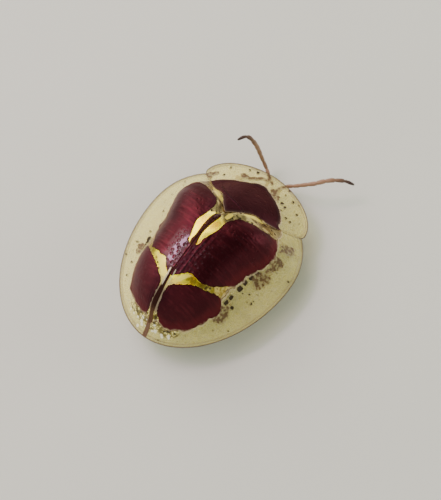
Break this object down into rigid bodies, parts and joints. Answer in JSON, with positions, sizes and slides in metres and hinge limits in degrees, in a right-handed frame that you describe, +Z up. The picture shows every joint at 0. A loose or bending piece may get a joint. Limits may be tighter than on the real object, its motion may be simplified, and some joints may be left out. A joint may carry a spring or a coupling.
{
  "type": "tortoise beetle model",
  "caption": "Life-size still model of a domed tortoise beetle with clear flared margins, standing low on its feet with both antennae out.",
  "frame": {"origin": "on the floor at the centre of the whole model's box", "axes": "+Z up, the head and antennae towards -Y, the beetle's right side towards -X"},
  "size_m": [0.0064, 0.0096, 0.0034],
  "materials": {
    "wing_case": "glossy dark maroon cuticle with gold bands and a clear pale yellow margin",
    "clear_margin": "clear pale yellow cuticle, glossy, with fine pits",
    "gold_band": "bright gold with a mirror-like gloss and dark pits",
    "dark_cuticle": "dark brown glossy cuticle",
    "body_cuticle": "brown satin cuticle",
    "limb_cuticle": "light brown satin cuticle",
    "eye": "glossy black eye"
  },
  "bodies": {
    "root": {"elytron_left": "wing_case", "elytron_right": "wing_case", "pronotum": "wing_case", "scutellum": "dark_cuticle", "head": "body_cuticle", "eye_left": "eye", "eye_right": "eye", "antenna_left": "limb_cuticle", "antenna_right": "limb_cuticle", "thorax": "body_cuticle", "abdomen": "body_cuticle", "leg_front_left": "limb_cuticle", "leg_front_right": "limb_cuticle", "leg_middle_left": "limb_cuticle", "leg_middle_right": "limb_cuticle", "leg_hind_left": "limb_cuticle", "leg_hind_right": "limb_cuticle"}
  },
  "joints": []
}
